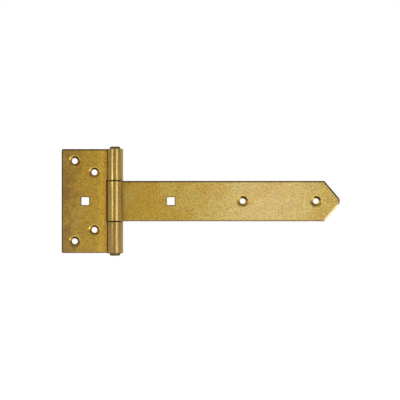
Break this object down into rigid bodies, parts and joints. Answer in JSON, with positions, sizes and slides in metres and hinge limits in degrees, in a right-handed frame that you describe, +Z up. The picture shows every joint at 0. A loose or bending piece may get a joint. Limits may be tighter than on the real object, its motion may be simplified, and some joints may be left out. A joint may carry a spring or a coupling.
{
  "type": "gate hinge",
  "caption": "Tee gate hinge: a rectangular post leaf and a long pointed strap, rolled round a riveted pin, with countersunk screw holes and square bolt holes.",
  "frame": {"origin": "centre of the post leaf's square bolt hole, on the leaf's back face, which lies on the post", "axes": "+X along the strap towards its point, +Y into the post and the gate, +Z up along the pin"},
  "size_m": [0.2405, 0.0142, 0.094],
  "materials": {
    "yellow_zinc": "yellow-passivated zinc plating on rolled steel sheet, satin",
    "pin_zinc": "yellow-passivated zinc plating on drawn steel rod, satin"
  },
  "bodies": {
    "post_side": {"post_leaf": "yellow_zinc", "hinge_pin": "pin_zinc"},
    "gate_side": {"gate_strap": "yellow_zinc"}
  },
  "joints": [
    {"name": "strap_swing", "type": "hinge", "parent": "post_side", "child": "gate_side", "pos_m": [0.026, -0.00708, 0], "axis": [0, 0, -1], "range_deg": [-90, 180]}
  ]
}
